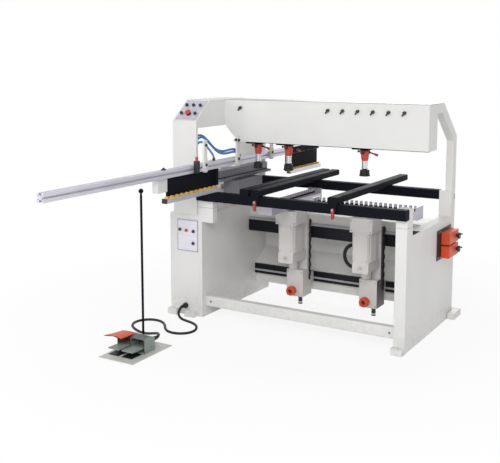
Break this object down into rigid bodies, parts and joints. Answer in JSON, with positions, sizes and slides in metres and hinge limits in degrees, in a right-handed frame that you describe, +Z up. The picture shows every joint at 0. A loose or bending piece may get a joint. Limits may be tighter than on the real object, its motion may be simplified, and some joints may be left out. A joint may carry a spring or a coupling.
{
  "type": "line boring machine",
  "caption": "Floor-standing multi-spindle line boring machine with an overhead clamp beam, long side fence, sliding table arms, turning drill heads and a corded foot pedal.",
  "frame": {"origin": "centre of the four anchor holes at floor level", "axes": "+X to the operator's right, +Y away from the operator along the fence, +Z up"},
  "size_m": [1.7591, 2.97, 1.393],
  "materials": {
    "white_paint": "semi-gloss light grey enamel",
    "black_paint": "satin black enamel",
    "bright_metal": "machined",
    "orange_plastic": "moulded",
    "red_plastic": "moulded",
    "red_paint": "gloss",
    "yellow_plastic": "moulded",
    "blue_hose": "smooth",
    "black_rubber": "smooth",
    "black_plastic": "moulded",
    "panel_sheet": "satin grey",
    "pedal_paint": "grey-green hammer paint"
  },
  "bodies": {
    "frame": {"left_cabinet": "white_paint", "right_cabinet": "white_paint", "left_covers": "white_paint", "machine_feet": "white_paint", "left_portal": "white_paint", "top_beam": "white_paint", "arch_tube": "white_paint", "tie_rail": "white_paint", "rear_girder": "white_paint", "fence_fittings": "white_paint", "clamp_rail": "black_paint", "front_table_rail": "black_paint", "rear_table_rail": "black_paint", "side_bar": "black_paint", "guide_rails": "black_paint", "fence_skirts": "black_paint", "pedal_rod": "black_paint", "fence_extrusion": "bright_metal", "wheel_channels": "bright_metal", "horizontal_base": "bright_metal", "skate_wheels": "yellow_plastic", "control_plates": "panel_sheet", "control_knobs": "black_plastic", "air_lines": "blue_hose", "cord_glands": "black_rubber", "pedal_cord": "black_rubber", "pedal_base": "pedal_paint", "pedal_hood": "orange_plastic", "counter_boxes": "orange_plastic"},
    "emergency_stop": {"emergency_stop": "red_plastic"},
    "pedal_left": {"pedal_left": "pedal_paint"},
    "pedal_right": {"pedal_right": "pedal_paint"},
    "horizontal_unit": {"horizontal_head": "bright_metal", "horizontal_chucks": "bright_metal"},
    "saddle_1": {"saddle_1": "white_paint"},
    "column_1": {"column_1": "white_paint"},
    "head_1": {"head_1": "bright_metal", "chucks_1": "bright_metal"},
    "depth_knob_1": {"depth_knob_1": "orange_plastic"},
    "table_arm_1": {"table_arm_1": "black_paint"},
    "arm_lock_1": {"arm_lock_1": "red_plastic"},
    "counter_crank_1": {"counter_crank_1": "black_plastic"},
    "saddle_2": {"saddle_2": "white_paint"},
    "column_2": {"column_2": "white_paint", "motor_conduit": "black_rubber"},
    "head_2": {"head_2": "bright_metal", "chucks_2": "bright_metal"},
    "depth_knob_2": {"depth_knob_2": "orange_plastic"},
    "table_arm_2": {"table_arm_2": "black_paint"},
    "arm_lock_2": {"arm_lock_2": "red_plastic"},
    "counter_crank_2": {"counter_crank_2": "black_plastic"},
    "clamp_body_1": {"clamp_body_1": "red_paint"},
    "clamp_foot_1": {"clamp_foot_1": "black_paint"},
    "flip_stop_1": {"flip_stop_1": "white_paint"},
    "clamp_body_2": {"clamp_body_2": "red_paint"},
    "clamp_foot_2": {"clamp_foot_2": "black_paint"},
    "flip_stop_2": {"flip_stop_2": "white_paint"},
    "clamp_body_3": {"clamp_body_3": "red_paint"},
    "clamp_foot_3": {"clamp_foot_3": "black_paint"},
    "flip_stop_3": {"flip_stop_3": "white_paint"}
  },
  "joints": [
    {"name": "saddle_1_slide", "type": "slide", "parent": "frame", "child": "saddle_1", "axis": [1, 0, 0], "range_m": [-0.06, 0.01]},
    {"name": "column_1_lift", "type": "slide", "parent": "saddle_1", "child": "column_1", "axis": [0, 0, 1], "range_m": [0, 0.042]},
    {"name": "head_1_turn", "type": "hinge", "parent": "column_1", "child": "head_1", "pos_m": [-0.1378, -0.02, 0.7], "axis": [0, 0, 1], "range_deg": [0, 45]},
    {"name": "depth_knob_1_turn", "type": "hinge", "parent": "saddle_1", "child": "depth_knob_1", "pos_m": [-0.1548, 0.035, 0.125], "axis": [0, 1, 0], "continuous": true},
    {"name": "saddle_2_slide", "type": "slide", "parent": "frame", "child": "saddle_2", "axis": [1, 0, 0], "range_m": [-0.01, 0.06]},
    {"name": "column_2_lift", "type": "slide", "parent": "saddle_2", "child": "column_2", "axis": [0, 0, 1], "range_m": [0, 0.042]},
    {"name": "head_2_turn", "type": "hinge", "parent": "column_2", "child": "head_2", "pos_m": [0.385, -0.02, 0.7], "axis": [0, 0, 1], "range_deg": [-90, 0]},
    {"name": "depth_knob_2_turn", "type": "hinge", "parent": "saddle_2", "child": "depth_knob_2", "pos_m": [0.368, 0.035, 0.125], "axis": [0, 1, 0], "continuous": true},
    {"name": "horizontal_feed", "type": "slide", "parent": "frame", "child": "horizontal_unit", "axis": [1, 0, 0], "range_m": [0, 0.05]},
    {"name": "clamp_1_slide", "type": "slide", "parent": "frame", "child": "clamp_body_1", "axis": [1, 0, 0], "range_m": [0, 0.03]},
    {"name": "clamp_1_press", "type": "slide", "parent": "clamp_body_1", "child": "clamp_foot_1", "axis": [0, 0, 1], "range_m": [-0.07, 0], "stiffness_N_per_m": 300, "springref_m": 0.12},
    {"name": "clamp_2_slide", "type": "slide", "parent": "frame", "child": "clamp_body_2", "axis": [1, 0, 0], "range_m": [-0.04, 0.15]},
    {"name": "clamp_2_press", "type": "slide", "parent": "clamp_body_2", "child": "clamp_foot_2", "axis": [0, 0, 1], "range_m": [-0.07, 0], "stiffness_N_per_m": 300, "springref_m": 0.12},
    {"name": "clamp_3_slide", "type": "slide", "parent": "frame", "child": "clamp_body_3", "axis": [1, 0, 0], "range_m": [-0.15, 0.25]},
    {"name": "clamp_3_press", "type": "slide", "parent": "clamp_body_3", "child": "clamp_foot_3", "axis": [0, 0, 1], "range_m": [-0.07, 0], "stiffness_N_per_m": 300, "springref_m": 0.12},
    {"name": "table_arm_1_slide", "type": "slide", "parent": "frame", "child": "table_arm_1", "axis": [1, 0, 0], "range_m": [-0.01, 0.2]},
    {"name": "arm_lock_1_turn", "type": "hinge", "parent": "table_arm_1", "child": "arm_lock_1", "pos_m": [-0.1418, -0.48, 0.796], "axis": [0, 1, 0], "range_deg": [0, 50]},
    {"name": "table_arm_2_slide", "type": "slide", "parent": "frame", "child": "table_arm_2", "axis": [1, 0, 0], "range_m": [-0.2, 0.3]},
    {"name": "arm_lock_2_turn", "type": "hinge", "parent": "table_arm_2", "child": "arm_lock_2", "pos_m": [0.375, -0.48, 0.796], "axis": [0, 1, 0], "range_deg": [0, 50]},
    {"name": "flip_stop_1_turn", "type": "hinge", "parent": "frame", "child": "flip_stop_1", "pos_m": [-0.473, -0.538, 1.01], "axis": [1, 0, 0], "range_deg": [-90, 0]},
    {"name": "flip_stop_2_turn", "type": "hinge", "parent": "frame", "child": "flip_stop_2", "pos_m": [-0.473, -0.155, 1.01], "axis": [1, 0, 0], "range_deg": [0, 90]},
    {"name": "flip_stop_3_turn", "type": "hinge", "parent": "frame", "child": "flip_stop_3", "pos_m": [-0.473, 0.297, 1.01], "axis": [1, 0, 0], "range_deg": [-90, 0]},
    {"name": "pedal_left_press", "type": "hinge", "parent": "frame", "child": "pedal_left", "pos_m": [-0.5945, -1.12, 0.034], "axis": [1, 0, 0], "range_deg": [0, 8], "stiffness_Nm_per_rad": 12, "springref_deg": -14.32},
    {"name": "pedal_right_press", "type": "hinge", "parent": "frame", "child": "pedal_right", "pos_m": [-0.4995, -1.12, 0.034], "axis": [1, 0, 0], "range_deg": [0, 8], "stiffness_Nm_per_rad": 12, "springref_deg": -14.32},
    {"name": "emergency_stop_press", "type": "slide", "parent": "frame", "child": "emergency_stop", "axis": [0, -0.6193, 0.7851], "range_m": [-0.006, 0], "stiffness_N_per_m": 600, "springref_m": 0.006},
    {"name": "counter_crank_1_turn", "type": "hinge", "parent": "frame", "child": "counter_crank_1", "pos_m": [0.861, 0.309, 0.557], "axis": [1, 0, 0], "range_deg": [-2170, 370]},
    {"name": "counter_crank_2_turn", "type": "hinge", "parent": "frame", "child": "counter_crank_2", "pos_m": [0.861, 0.309, 0.473], "axis": [1, 0, 0], "range_deg": [-370, 2170]}
  ],
  "couplings": [
    {"joint": "counter_crank_1_turn", "follows": "saddle_1_slide", "rad_per_m": 628.32},
    {"joint": "counter_crank_2_turn", "follows": "saddle_2_slide", "rad_per_m": 628.32}
  ]
}
